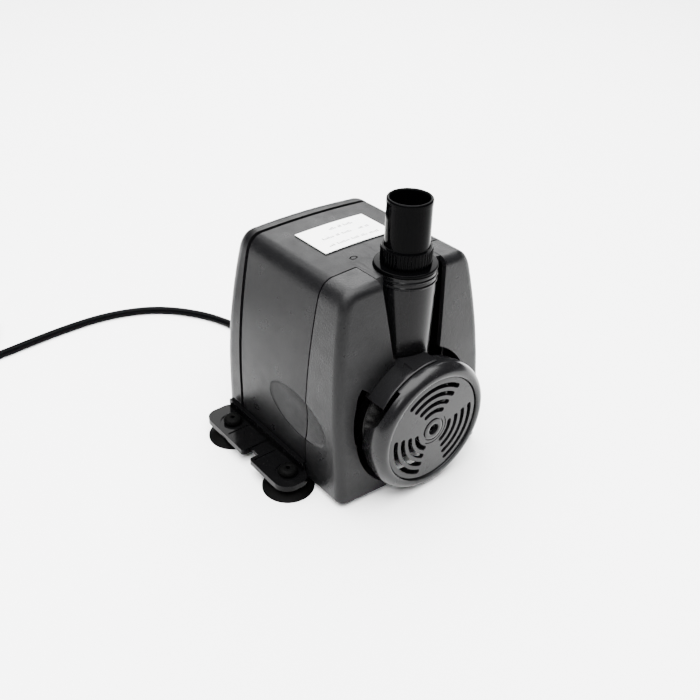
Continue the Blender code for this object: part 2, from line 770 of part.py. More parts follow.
def make_dial_pivot():
    """Hollow rivet in the middle of the dial."""
    front = DIAL_FRONT + 1.6
    profile = [(1.0, front), (2.2, front), (2.2, front + 4.4), (1.0, front + 4.4)]
    pivot = add_object("dial_pivot", turned(profile, around_y, (0.0, AXIS_Z), 20), gloss_black())
    rest_origin_at(pivot, (0.0, DIAL_FRONT, AXIS_Z))
    return pivot


# --------------------------------------------------------------------- feet

def make_foot(side, sign):
    """Bracket that clips along the side and carries two suction cups."""
    def across(outline):
        return [(sign * x, y) for x, y in outline]

    rail = prism(across([(FOOT_INNER, -17.0), (FOOT_RAIL, -17.0), (FOOT_RAIL, 46.0), (FOOT_INNER, 46.0)]),
                 FOOT_LOW, 13.0, "z")
    foot = add_object(f"foot_{side}", rail, gloss_black())
    plates = {
        "rear": rounded_rectangle(46.0, FOOT_OUTER, 12.0, 48.0, 6.5),
        "front": rounded_rectangle(46.0, FOOT_OUTER + 0.6, -23.5, 5.2, 7.4),
    }
    for place, outline in plates.items():
        fuse(foot, prism(across(outline), FOOT_LOW + 0.1, FOOT_HIGH, "z"), f"plate_{place}_{side}")
        hole = [(3.4, 0.0), (3.4, 20.0)]
        cut(foot, turned(hole, around_z, (sign * CUP_X, CUP_YS[place]), 20, hollow=False), "cup_hole")
    step_outline = across([(47.0, 4.0), (57.0, 4.0), (57.0, 13.0), (47.0, 13.0)])
    step = prism(step_outline, FOOT_LOW + 0.2, FOOT_LOW + 2.2, "z")
    fuse(foot, step, f"link_{side}")
    return foot


def make_suction_cup(side, sign, place):
    profile = [
        (CUP_RADIUS, 0.0),
        (CUP_RADIUS, 0.7),
        (7.0, 3.4),
        (2.9, 5.0),
        (2.9, FOOT_HIGH + 0.4),
        (4.7, FOOT_HIGH + 0.4),
        (4.2, FOOT_HIGH + 2.4),
        (1.0, FOOT_HIGH + 2.8),
        (1.0, 3.6),
        (CUP_RADIUS - 1.6, 0.0),
    ]
    cup = turned(profile, around_z, (sign * CUP_X, CUP_YS[place]), 24)
    return add_object(f"suction_cup_{place}_{side}", cup, black_rubber())


# --------------------------------------------------------------- mains cord

def smooth_points(route, spacing):
    """Read points at an even spacing from a Catmull-Rom curve through the route."""
    points = [Vector(point) for point in route]
    ends = [2.0 * points[0] - points[1]] + points + [2.0 * points[-1] - points[-2]]
    fine = []
    for index in range(len(points) - 1):
        a, b, c, d = ends[index:index + 4]
        for k in range(20):
            t = k / 20
            fine.append(0.5 * (2.0 * b + (c - a) * t + (2.0 * a - 5.0 * b + 4.0 * c - d) * t ** 2
                               + (3.0 * b - a - 3.0 * c + d) * t ** 3))
    fine.append(points[-1])
    total = sum((b - a).length for a, b in zip(fine, fine[1:]))
    count = max(2, round(total / spacing))
    kept = [fine[0]]
    travelled = 0.0
    for a, b in zip(fine, fine[1:]):
        travelled += (b - a).length
        if travelled >= len(kept) * total / count - 1e-6 and len(kept) < count:
            kept.append(b)
    kept.append(fine[-1])
    return kept


def cord_tube(name, route, diameter, spacing, finish):
    curve = bpy.data.curves.new(name, "CURVE")
    curve.dimensions = "3D"
    curve.bevel_depth = diameter / 2.0 * MM
    curve.bevel_resolution = 2
    curve.use_fill_caps = True
    points = smooth_points(route, spacing)
    spline = curve.splines.new("POLY")
    spline.points.add(len(points) - 1)
    for place, point in zip(spline.points, points):
        place.co = (point.x * MM, point.y * MM, point.z * MM, 1.0)
    made = bpy.data.objects.new(name, curve)
    curve.materials.append(finish)
    bpy.context.scene.collection.objects.link(made)
    return made


def make_cord_gland():
    """Tapered rubber strain relief through the rear cover."""
    end = CORD_EXIT[1]
    profile = [
        (2.5, 50.2), (4.2, 50.2), (4.2, 55.0), (6.6, 55.1), (6.6, 57.2), (4.3, 57.4),
        (3.9, 62.0), (3.3, 70.0), (2.9, end), (2.5, end),
    ]
    centre = (CORD_EXIT[0], CORD_EXIT[2])
    return add_object("cord_gland", turned(profile, around_y, centre, 16), black_rubber())


def make_cord():
    finish = material("cord_sheath", (0.014, 0.014, 0.015), 0.45)
    cord_tube("mains_cord", CORD_ROUTE, CORD_DIAMETER, 9.0, finish)
    cord_tube("cord_tail", TAIL_ROUTE, CORD_DIAMETER, 5.0, finish)
    profile = [
        (COIL_INNER, COIL_LOW + 2.0), (COIL_INNER + 2.0, COIL_LOW),
        (COIL_OUTER - 2.0, COIL_LOW), (COIL_OUTER, COIL_LOW + 2.0),
        (COIL_OUTER, COIL_HEIGHT - 2.0), (COIL_OUTER - 2.0, COIL_HEIGHT),
        (COIL_INNER + 2.0, COIL_HEIGHT), (COIL_INNER, COIL_HEIGHT - 2.0),
    ]
    add_object("cord_coil", turned(profile, around_z, COIL_CENTRE, 28), finish)


def make_plug():
    """Flat two-pin plug lying beside the coil, its strain relief on the cord."""
    x, y = PLUG_PLACE
    z = PLUG_HALF[2] + 0.2
    outline = [
        (-3.6, 0.0), (3.6, 0.0), (5.2, 8.0), (PLUG_HALF[0], 18.0),
        (PLUG_HALF[0], 2.0 * PLUG_HALF[1]), (-PLUG_HALF[0], 2.0 * PLUG_HALF[1]),
        (-PLUG_HALF[0], 18.0), (-5.2, 8.0),
    ]
    shell = prism([(x + a, y + b) for a, b in outline], z - PLUG_HALF[2], z + PLUG_HALF[2], "z")
    bmesh.ops.bevel(shell, geom=shell.edges, offset=1.6, segments=2, affect="EDGES", profile=0.5)
    add_object("plug_body", shell, satin_black())
    start = y + 2.0 * PLUG_HALF[1] + GAP
    for side, sign in (("left", -1), ("right", 1)):
        profile = [(1.0, start + 19.0), (2.0, start + 17.8), (2.0, start)]
        pin = turned(profile, around_y, (x + sign * 9.2, z), 16, hollow=False)
        add_object(f"plug_pin_{side}", pin, material("nickel", (0.66, 0.65, 0.62), 0.25, 1.0))


def make_cord_tie():
    """Soft strap round one side of the coil."""
    reach = 1.0 + GAP
    x0, x1 = COIL_INNER - 0.8, COIL_OUTER + GAP
    inner = rounded_rectangle(x0, x1, COIL_LOW - GAP, COIL_HEIGHT + GAP, 1.0, 3)
    low, high = COIL_CENTRE[1] - 4.0, COIL_CENTRE[1] + 4.0
    outer = rounded_rectangle(x0 - 1.0, x1 + 1.0, COIL_LOW - reach, COIL_HEIGHT + reach, 1.6, 3)
    rings = [
        [(COIL_CENTRE[0] + a, low, b) for a, b in outer],
        [(COIL_CENTRE[0] + a, high, b) for a, b in outer],
        [(COIL_CENTRE[0] + a, high, b) for a, b in inner],
        [(COIL_CENTRE[0] + a, low, b) for a, b in inner],
    ]
    return add_object("cord_tie", skin(rings, closed=True), black_rubber())


def build():
    clear_scene()
    make_front_casing()
    make_motor_housing()
    make_rear_cover()
    make_rear_seal()
    make_rating_label()
    make_chamber_cover()
    make_chamber_seal()
    make_outlet_nozzle()
    make_nozzle_seal()
    make_impeller()
    make_rotor_parts()
    make_shaft_and_bushings()
    make_stator_core()
    make_coils()
    make_wiring()
    make_port_collar()
    make_flow_dial()
    make_dial_grille()
    make_dial_pivot()
    for side, sign in (("left", -1), ("right", 1)):
        make_foot(side, sign)
        for place in CUP_YS:
            make_suction_cup(side, sign, place)
    make_cord_gland()
    make_cord()
    make_plug()
    make_cord_tie()


build()
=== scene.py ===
"""Looks of the fountain pump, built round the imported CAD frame.

Shapes are in millimetres, which MM turns into metres. The camera, the lights and the floor are in metres.
"""
import math

import bmesh
import bpy
from mathutils import Matrix, Vector


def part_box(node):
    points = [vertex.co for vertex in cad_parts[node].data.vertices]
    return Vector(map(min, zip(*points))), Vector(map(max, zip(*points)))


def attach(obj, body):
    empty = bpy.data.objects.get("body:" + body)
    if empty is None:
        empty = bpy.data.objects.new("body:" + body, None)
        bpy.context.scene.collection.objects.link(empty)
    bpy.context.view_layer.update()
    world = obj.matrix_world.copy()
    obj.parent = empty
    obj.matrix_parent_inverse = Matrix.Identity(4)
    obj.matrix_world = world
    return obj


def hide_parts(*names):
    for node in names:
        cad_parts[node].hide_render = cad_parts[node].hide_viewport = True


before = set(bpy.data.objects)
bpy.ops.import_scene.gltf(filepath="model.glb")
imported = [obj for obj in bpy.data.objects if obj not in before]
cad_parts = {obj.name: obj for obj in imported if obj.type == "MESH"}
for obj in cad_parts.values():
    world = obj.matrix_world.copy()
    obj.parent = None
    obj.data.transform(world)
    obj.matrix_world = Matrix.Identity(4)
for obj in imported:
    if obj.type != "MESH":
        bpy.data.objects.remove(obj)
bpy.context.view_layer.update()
MM = 0.001


# ---------------------------------------------------------------- the frame

def middle(node):
    low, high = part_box(node)
    return (low + high) / 2.0


AXIS_Z = middle("flow_dial").z / MM
PIPE_X = middle("outlet_nozzle").x / MM
PIPE_Y = middle("outlet_nozzle").y / MM
NOZZLE_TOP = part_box("outlet_nozzle")[1].z / MM
DIAL_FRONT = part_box("flow_dial")[0].y / MM
COIL_CENTRE = middle("cord_coil") / MM


# ------------------------------------------------------------------- camera

CAMERA_PLACE = (-0.2252, -0.2629, 0.2768)
CAMERA_ANGLES = (-40.1, 33.0, 1.9)


def place_camera():
    azimuth, elevation, roll = (math.radians(angle) for angle in CAMERA_ANGLES)
    back = Vector((math.sin(azimuth) * math.cos(elevation), -math.cos(azimuth) * math.cos(elevation),
                   math.sin(elevation)))
    flat_right = Vector((math.cos(azimuth), math.sin(azimuth), 0.0))
    flat_up = back.cross(flat_right)
    right = flat_right * math.cos(roll) + flat_up * math.sin(roll)
    up = flat_up * math.cos(roll) - flat_right * math.sin(roll)
    data = bpy.data.cameras.new("camera")
    data.sensor_width = 36.0
    data.lens = 43.7
    data.shift_x = -0.0056
    data.shift_y = -0.0083
    data.clip_start = 0.01
    camera = bpy.data.objects.new("camera", data)
    bpy.context.scene.collection.objects.link(camera)
    turn = Matrix((right, up, back)).transposed().to_4x4()
    camera.matrix_world = Matrix.Translation(CAMERA_PLACE) @ turn
    bpy.context.scene.camera = camera


place_camera()


# --------------------------------------------------------------------- cord

CORD_DIAMETER = 4.4
CORD_EXIT = (2.0, 20.0)
CORD_ROUTE = (
    (2.0, 56.0, 20.0),
    (2.0, 66.0, 20.0),
    (2.0, 78.3, 20.0),
    (2.2, 88.0, 18.6),
    (2.6, 99.0, 12.6),
    (2.4, 110.0, 5.4),
    (1.4, 119.0, 2.6),
    (-1.0, 128.0, 2.3),
    (-5.2, 138.0, 2.3),
    (-11.0, 147.5, 2.3),
    (-18.2, 156.5, 2.3),
    (-27.5, 164.6, 2.3),
    (-38.0, 170.4, 2.3),
    (-51.0, 174.6, 2.3),
    (-66.0, 176.6, 2.3),
    (-84.0, 176.4, 2.3),
    (-102.0, 174.8, 2.3),
    (-118.0, 173.0, 2.3),
    (-130.0, 172.3, 2.4),
    (-142.0, 172.3, 3.2),
)
TAIL_ROUTE = (
    (-181.5, 214.0, 8.0),
    (-181.5, 221.6, 8.0),
    (-181.6, 227.0, 7.6),
    (-181.8, 232.6, 7.1),
    (-181.8, 238.0, 7.0),
    (-181.8, 243.0, 7.0),
)
COIL_RADII = (31.5, 27.0, 22.5)
COIL_LAYERS = (3.6, 8.0)
COIL_TURNS = 6.25


def smooth_step(value):
    value = min(1.0, max(0.0, value))
    return value * value * (3.0 - 2.0 * value)


def coil_points():
    """Six and a quarter clockwise turns: inwards on the floor, then outwards on top."""
    radii = COIL_RADII + COIL_RADII[::-1] + (COIL_RADII[0],)
    heights = (COIL_LAYERS[0],) * 3 + (COIL_LAYERS[1],) * 4
    per_turn = 28
    points = []
    for k in range(int(COIL_TURNS * per_turn) + 1):
        turn, part = divmod(k / per_turn, 1.0)
        turn = int(turn)
        blend = smooth_step((part - 0.8) / 0.2)
        after = min(turn + 1, 6)
        radius = radii[turn] + (radii[after] - radii[turn]) * blend
        height = heights[turn] + (heights[after] - heights[turn]) * blend
        angle = math.radians(-90.0 - 360.0 * k / per_turn)
        points.append((COIL_CENTRE.x + radius * math.cos(angle),
                       COIL_CENTRE.y + radius * math.sin(angle), height))
    return points


def catmull_rom(route, parts):
    points = [Vector(point) for point in route]
    ends = [2.0 * points[0] - points[1]] + points + [2.0 * points[-1] - points[-2]]
    fine = []
    for index in range(len(points) - 1):
        a, b, c, d = ends[index:index + 4]
        for k in range(parts):
            t = k / parts
            fine.append(0.5 * (2.0 * b + (c - a) * t + (2.0 * a - 5.0 * b + 4.0 * c - d) * t ** 2
                               + (3.0 * b - a - 3.0 * c + d) * t ** 3))
    fine.append(points[-1])
    return fine


def link(name, data, *materials):
    made = bpy.data.objects.new(name, data)
    bpy.context.scene.collection.objects.link(made)
    for material in materials:
        data.materials.append(material)
    return made


def tube_curve(name, points, diameter):
    curve = bpy.data.curves.new(name, "CURVE")
    curve.dimensions = "3D"
    curve.bevel_depth = diameter / 2.0 * MM
    curve.bevel_resolution = 4
    curve.use_fill_caps = True
    spline = curve.splines.new("POLY")
    spline.points.add(len(points) - 1)
    for place, point in zip(spline.points, points):
        place.co = (point[0] * MM, point[1] * MM, point[2] * MM, 1.0)
    spline.use_smooth = True
    return link(name, curve)


def cord_path():
    coil = coil_points()
    return catmull_rom(CORD_ROUTE + tuple(coil[1:]) + TAIL_ROUTE[1:], 4)


def length_of(points):
    return sum((b - a).length for a, b in zip(points, points[1:])) * MM


path = cord_path()
cord = tube_curve("mains_cord_flex", path, CORD_DIAMETER)


# ---------------------------------------------------------------- materials

def node_of(tree, kind, **values):
    made = tree.nodes.new(kind)
    for name, value in values.items():
        if hasattr(made, name):
            setattr(made, name, value)
        else:
            made.inputs[name.replace("_", " ")].default_value = value
    return made


def scaled(colour, factor):
    return (*[min(1.0, part * factor) for part in colour], 1.0)


FINISHES = {}
DUST = (0.35, 0.34, 0.32, 1.0)


def surface(name, colour, rough, metallic=0.0, grain=1500.0, bump=0.12, vary=0.25, rough_vary=0.1,
            specks=0.0, specular=0.5, stripes=None):
    """Principled finish with grain, colour drift, uneven gloss and fine specks, all from noise."""
    if name in FINISHES:
        return FINISHES[name]
    made = FINISHES[name] = bpy.data.materials.new("finish_" + name)
    made.use_nodes = True
    tree = made.node_tree
    join = tree.links.new
    shader = tree.nodes["Principled BSDF"]
    shader.inputs["Metallic"].default_value = metallic
    shader.inputs["Specular IOR Level"].default_value = specular
    place = tree.nodes.new("ShaderNodeTexCoord").outputs["Object"]
    drift = node_of(tree, "ShaderNodeTexNoise", Scale=38.0, Detail=5.0, Roughness=0.6)
    gloss = node_of(tree, "ShaderNodeTexNoise", Scale=130.0, Detail=4.0, Roughness=0.55)
    fine = node_of(tree, "ShaderNodeTexNoise", Scale=grain, Detail=3.0, Roughness=0.6)
    for texture in (drift, gloss, fine):
        join(place, texture.inputs["Vector"])

    tint = node_of(tree, "ShaderNodeMix", data_type="RGBA")
    tint.inputs[6].default_value = scaled(colour, 1.0 - vary)
    tint.inputs[7].default_value = scaled(colour, 1.0 + vary)
    join(drift.outputs["Fac"], tint.inputs[0])
    colour_out = tint.outputs[2]
    if specks:
        dots = node_of(tree, "ShaderNodeTexVoronoi", Scale=640.0)
        join(place, dots.inputs["Vector"])
        near = node_of(tree, "ShaderNodeMapRange", From_Min=0.05, From_Max=0.12, To_Min=specks, To_Max=0.0)
        join(dots.outputs["Distance"], near.inputs["Value"])
        patch = node_of(tree, "ShaderNodeMapRange", From_Min=0.52, From_Max=0.62, To_Min=0.0, To_Max=1.0)
        join(gloss.outputs["Fac"], patch.inputs["Value"])
        both = node_of(tree, "ShaderNodeMath", operation="MULTIPLY")
        join(near.outputs["Result"], both.inputs[0])
        join(patch.outputs["Result"], both.inputs[1])
        dusty = node_of(tree, "ShaderNodeMix", data_type="RGBA")
        dusty.inputs[7].default_value = DUST
        join(both.outputs[0], dusty.inputs[0])
        join(colour_out, dusty.inputs[6])
        colour_out = dusty.outputs[2]
    join(colour_out, shader.inputs["Base Color"])

    uneven = node_of(tree, "ShaderNodeMapRange", From_Min=0.3, From_Max=0.7,
                     To_Min=max(0.02, rough - rough_vary), To_Max=min(1.0, rough + rough_vary))
    join(gloss.outputs["Fac"], uneven.inputs["Value"])
    join(uneven.outputs["Result"], shader.inputs["Roughness"])

    relief = node_of(tree, "ShaderNodeBump", Strength=bump, Distance=0.0002)
    height = fine.outputs["Fac"]
    if stripes:
        axis, scale, depth = stripes
        wave = node_of(tree, "ShaderNodeTexWave", bands_direction=axis, Scale=scale, Distortion=0.4)
        join(place, wave.inputs["Vector"])
        total = node_of(tree, "ShaderNodeMath", operation="MULTIPLY_ADD")
        total.inputs[1].default_value = depth
        join(wave.outputs["Fac"], total.inputs[0])
        join(height, total.inputs[2])
        height = total.outputs[0]
    join(height, relief.inputs["Height"])
    join(relief.outputs["Normal"], shader.inputs["Normal"])
    return made


def satin():
    return surface("satin_black", (0.004, 0.004, 0.0043), 0.33, specular=0.065, grain=1700.0, bump=0.25,
                   rough_vary=0.07, specks=0.04)


def grained():
    return surface("satin_black_grained", (0.004, 0.004, 0.0043), 0.34, specular=0.11, grain=1300.0, bump=0.7,
                   rough_vary=0.08, specks=0.06)


def gloss():
    return surface("gloss_black", (0.0006, 0.0006, 0.0007), 0.09, specular=0.014, grain=700.0, bump=0.02,
                   rough_vary=0.05, specks=0.03)


def glossy_foot():
    return surface("foot_black", (0.0015, 0.0015, 0.0016), 0.12, specular=0.04, grain=900.0, bump=0.05,
                   rough_vary=0.06, specks=0.04)


def rubber():
    return surface("black_rubber", (0.001, 0.001, 0.001), 0.5, grain=2200.0, bump=0.3, rough_vary=0.1,
                   specks=0.02, specular=0.015)


def sheath():
    return surface("cord_sheath", (0.0008, 0.0008, 0.001), 0.34, specular=0.015, grain=1800.0, bump=0.15,
                   specks=0.05)


def paint_cad():
    """Procedural finishes for the CAD nodes that stay."""
    white = surface("white_plastic", (0.68, 0.67, 0.63), 0.38, bump=0.15, vary=0.06)
    copper = surface("enamelled_copper", (0.6, 0.22, 0.08), 0.28, 1.0, bump=0.05, stripes=("Z", 500.0, 4.0))
    steel = surface("steel_sheet", (0.4, 0.4, 0.41), 0.36, 1.0, bump=0.1, stripes=("Y", 640.0, 2.0))
    resin = surface("potting_resin", (0.03, 0.028, 0.026), 0.3, bump=0.05, vary=0.3)
    ferrite = surface("ferrite", (0.035, 0.034, 0.036), 0.5, bump=0.5)
    ceramic = surface("ceramic", (0.78, 0.77, 0.73), 0.18, bump=0.05, vary=0.04)
    blue = surface("blue_sheath", (0.04, 0.11, 0.42), 0.42, vary=0.1)
    brown = surface("brown_sheath", (0.23, 0.11, 0.05), 0.42, vary=0.1)
    chosen = {
        "chamber_seal": rubber(), "nozzle_seal": rubber(), "front_bushing": rubber(),
        "rear_bushing": rubber(), "cord_tie": rubber(), "impeller": rubber(), "rotor_sleeve": white,
        "rotor_magnet": ferrite, "rotor_shaft": ceramic, "stator_core": steel, "bobbin_left": white,
        "bobbin_right": white, "winding_left": copper, "winding_right": copper, "potting_slab": resin,
        "terminal_live": white, "terminal_neutral": white, "thermal_fuse": white, "lead_live": brown,
        "lead_neutral": blue,
    }
    for name, finish in chosen.items():
        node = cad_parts[name]
        for index in range(max(1, len(node.material_slots))):
            if node.material_slots:
                node.material_slots[index].material = finish
            else:
                node.data.materials.append(finish)


paint_cad()


# --------------------------------------------------------------- mesh tools

def skin(rings, closed=False):
    """Join equal loops of points, in millimetres, into one body."""
    made = bmesh.new()
    loops = [[made.verts.new(point) for point in ring] for ring in rings]
    count = len(loops[0])
    for index in range(len(loops) if closed else len(loops) - 1):
        here = loops[index]
        there = loops[(index + 1) % len(loops)]
        for k in range(count):
            nxt = (k + 1) % count
            made.faces.new((here[k], here[nxt], there[nxt], there[k]))
    if not closed:
        made.faces.new(loops[0])
        made.faces.new(loops[-1])
    return made


def around_y(radius, along, angle, centre):
    return (centre[0] + radius * math.cos(angle), along, centre[1] + radius * math.sin(angle))


def around_z(radius, along, angle, centre):
    return (centre[0] + radius * math.cos(angle), centre[1] + radius * math.sin(angle), along)


def turned(profile, place, centre, steps, hollow=True):
    turns = [2.0 * math.pi * k / steps for k in range(steps)]
    rings = [[place(radius, along, turn, centre) for turn in turns] for radius, along in profile]
    return skin(rings, closed=hollow)


def prism(outline, low, high, axis):
    places = {
        "y": lambda a, b, along: (a, along, b),
        "z": lambda a, b, along: (a, b, along),
    }
    place = places[axis]
    return skin([[place(a, b, along) for a, b in outline] for along in (low, high)])


def arc(centre, radius, start, end, steps):
    turns = [math.radians(start + (end - start) * k / steps) for k in range(steps + 1)]
    return [(centre[0] + radius * math.cos(turn), centre[1] + radius * math.sin(turn)) for turn in turns]


def rounded_rectangle(x0, x1, y0, y1, radii, steps=8):
    """Outline with its own corner radius at (x1, y0), (x1, y1), (x0, y1) and (x0, y0)."""
    corners = ((x1, y0, -1, 1, -90.0), (x1, y1, -1, -1, 0.0), (x0, y1, 1, -1, 90.0), (x0, y0, 1, 1, 180.0))
    outline = []
    for (x, y, dx, dy, start), radius in zip(corners, radii):
        outline.extend(arc((x + dx * radius, y + dy * radius), radius, start, start + 90.0, steps))
    return outline


def box(low, high):
    made = bmesh.new()
    bmesh.ops.create_cube(made, size=1.0)
    bmesh.ops.scale(made, vec=[b - a for a, b in zip(low, high)], verts=made.verts)
    bmesh.ops.translate(made, vec=[(a + b) / 2.0 for a, b in zip(low, high)], verts=made.verts)
    return made


def joined(*parts):
    """Several (material index, body) pairs as one body."""
    whole = bmesh.new()
    for index, part in parts:
        for face in part.faces:
            face.material_index = index
        mesh = bpy.data.meshes.new("part")
        bmesh.ops.recalc_face_normals(part, faces=part.faces)
        part.to_mesh(mesh)
        part.free()
        whole.from_mesh(mesh)
        bpy.data.meshes.remove(mesh)
    return whole


def mesh_of(name, builder, recalc=True):
    if recalc:
        bmesh.ops.recalc_face_normals(builder, faces=builder.faces)
    bmesh.ops.scale(builder, vec=(MM, MM, MM), verts=builder.verts)
    mesh = bpy.data.meshes.new(name)
    builder.to_mesh(mesh)
    builder.free()
    return mesh


def piece(name, builder, finishes, body, stands_for, steps=(), bevel=0.0, sharp=32.0):
    """Make a piece: base solid, boolean steps and a small bevel written into its mesh, then even shading."""
    made = link(name, mesh_of(name, builder, recalc=not isinstance(finishes, tuple)))
    tools = []
    for operation, tool in steps:
        cutter = link(name + "_tool", mesh_of("tool", tool))
        step = made.modifiers.new(operation, "BOOLEAN")
        step.operation = operation
        step.solver = "EXACT"
        step.object = cutter
        tools.append(cutter)
    if bevel:
        edge = made.modifiers.new("edge", "BEVEL")
        edge.width = bevel * MM
        edge.segments = 2
        edge.limit_method = "ANGLE"
        edge.angle_limit = math.radians(sharp)
        edge.use_clamp_overlap = True
    if made.modifiers:
        graph = bpy.context.evaluated_depsgraph_get()
        baked = bpy.data.meshes.new_from_object(made.evaluated_get(graph))
        made.modifiers.clear()
        made.data = baked
        baked.name = name
    for tool in tools:
        bpy.data.objects.remove(tool, do_unlink=True)
    for finish in finishes if isinstance(finishes, tuple) else (finishes,):
        made.data.materials.append(finish)
    made.data.shade_smooth()
    made.data.set_sharp_from_angle(angle=math.radians(sharp + 8.0))
    even = made.modifiers.new("even_normals", "WEIGHTED_NORMAL")
    even.keep_sharp = True
    even.weight = 80
    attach(made, body)
    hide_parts(*stands_for)
    return made


CUT = "DIFFERENCE"
ADD = "UNION"


# --------------------------------------------------------------- body shape

GAP = 0.3
BODY_BOTTOM = 2.0
BODY_TOP = 106.6
HALF_WIDTH = 44.6
SIDE_TAPER = 6.6
CROWN = 1.6
BOTTOM_RADIUS = 2.6
SHOULDER_RADIUS = 10.0
SEAM_Y = -16.0
GROOVE_Y = 37.4
GROOVE_WIDTH = 1.6
SEAM_GAP = 0.8
GROOVE_EASE = (0.3, 0.4)
FRONT_ROUND = 4.0
REAR_ROUND = 7.0
CASING_WALL = 2.4
HOUSING_WALL = 3.0
DIAL_AXIS = (0.0, AXIS_Z)
MARK = (-12.7, -8.3)


def half_width(z):
    rise = max(0.0, (z - 30.0) / 66.0)
    return HALF_WIDTH - SIDE_TAPER * rise * rise


def top_height(x):
    return BODY_TOP - CROWN * (x / 38.0) ** 2


def front_y(x, z):
    return -42.2 + 0.06 * z + 0.00045 * z * z - 2.2 * (1.0 - min(1.0, abs(x) / 44.0) ** 2)


def rear_y(x, z):
    return 54.0 - 0.0005 * z * z + 0.8 * (1.0 - min(1.0, abs(x) / 44.0) ** 2)


def body_loop(inset, rounding=0.0):
    """Barrel outline in the XZ plane, moved inwards by inset; rounding draws the bottom in less."""
    low = BODY_BOTTOM + inset + 0.3 * rounding
    inset = inset + rounding
    corner = max(BOTTOM_RADIUS - inset, 0.8)
    shoulder = max(SHOULDER_RADIUS - 0.6 * inset, 3.0)
    foot = half_width(low + corner) - inset
    right = [(0.0, low)] + [((foot - corner) * k / 6, low) for k in range(1, 6)]
    right += arc((foot - corner, low + corner), corner, -90.0, 0.0, 6)
    side_top = BODY_TOP - inset - shoulder
    for k in range(1, 21):
        z = low + corner + (side_top - low - corner) * k / 20
        right.append((half_width(z) - inset, z))
    start = Vector(right[-1])
    end_x = start.x - shoulder * 0.95
    end = Vector((end_x, top_height(end_x) - inset))
    slope = half_width(side_top) - half_width(side_top - 1.0)
    knee = Vector((start.x + slope * (end.y - start.y), end.y + 0.3))
    for k in range(1, 15):
        t = k / 14
        point = (1 - t) ** 2 * start + 2 * t * (1 - t) * knee + t * t * end
        right.append((point.x, point.y))
    for k in range(1, 9):
        x = end_x * (1 - k / 9)
        right.append((x, top_height(x) - inset))
    return right + [(0.0, BODY_TOP - inset)] + [(-x, z) for x, z in reversed(right[1:])]


def body_solid(start_y, face, sign, rounding, wall, full=True):
    """Solid from a flat plane at start_y to a rounded, leaning end face."""
    loop = body_loop(wall)
    rings = [[(x, start_y, z) for x, z in loop]]
    for share in (0.3, 0.6, 0.9) if full else ():
        ring = []
        for x, z in loop:
            reach = face(x, z) - sign * (rounding + wall) - start_y
            ring.append((x, start_y + reach * share, z))
        rings.append(ring)
    steps = 9 if full else 4
    for k in range(steps):
        turn = math.radians(90.0 * k / (steps - 1))
        edge = rounding * (1.0 - math.cos(turn))
        back = rounding * (1.0 - math.sin(turn)) + wall
        rings.append([(x, face(x, z) - sign * back, z) for x, z in body_loop(wall, edge)])
    for extra in (rounding + 0.6, 10.0, 17.0, 24.0, 31.0):
        rings.append([(x, face(x, z) - sign * wall, z) for x, z in body_loop(wall, extra)])
    return skin(rings)


def oval_dish():
    """Cutter for the slanted oval hollow of the left wall: a dish that follows the wall."""
    tilt = math.radians(8.0)
    rings = []
    for scale, depth in ((1.05, -3.0), (1.012, -0.05), (0.985, 0.3), (0.9, 0.55), (0.7, 0.95), (0.45, 1.2),
                         (0.2, 1.3)):
        ring = []
        for k in range(72):
            turn = 2.0 * math.pi * k / 72
            a = 22.0 * scale * math.cos(turn)
            b = 10.8 * scale * math.sin(turn)
            y = -9.0 + a * math.cos(tilt) - b * math.sin(tilt)
            z = 36.0 + a * math.sin(tilt) + b * math.cos(tilt)
            ring.append((-half_width(z) + depth, y, z))
        rings.append(ring)
    return skin(rings)


def moulded_mark():
    """Cutter for the tiny oval ring moulded in the top, in front of the label."""
    turns = [math.radians(15.0 * k) for k in range(24)]
    rings = []
    for scale, z in ((1.0, 105.9), (1.0, 108.0), (0.62, 108.0), (0.62, 105.9)):
        rings.append([(MARK[0] + 2.1 * scale * math.cos(turn), MARK[1] + 1.5 * scale * math.sin(turn), z)
                      for turn in turns])
    return skin(rings, closed=True)


def between(knots, value):
    for (a, low), (b, high) in zip(knots, knots[1:]):
        if value <= b:
            return low + (high - low) * (value - a) / (b - a)
    return knots[-1][1]


def sector_sweep(start, end, steps, section):
    """Closed body that sweeps a (radius, y) section, which may change, about the dial's axis."""
    turns = [start + (end - start) * k / steps for k in range(steps + 1)]
    return skin([[around_y(r, y, math.radians(turn), DIAL_AXIS) for r, y in section(turn)] for turn in turns])


OPENING_RADIUS = 34.6
OPENING_DEPTH = -33.0
PIPE_RADIUS = 13.8
PIPE_TOP = NOZZLE_TOP - 31.6
CHANNEL = ((62.0, 13.6), (107.0, 19.0))


def channel_outline():
    (low_z, low), (high_z, high) = CHANNEL
    return [(PIPE_X - low, low_z), (PIPE_X + low, low_z), (PIPE_X + high, high_z),
            (PIPE_X + high, high_z + 8.0), (PIPE_X - high, high_z + 8.0), (PIPE_X - high, high_z)]


def port_pocket(turn):
    reach = ((139.0, 40.2), (145.0, 40.0), (153.0, 38.2), (165.0, 36.9), (182.0, 34.9))
    outer = between(reach, turn)
    return [(31.0, -60.0), (outer, -60.0), (outer, OPENING_DEPTH), (31.0, OPENING_DEPTH)]


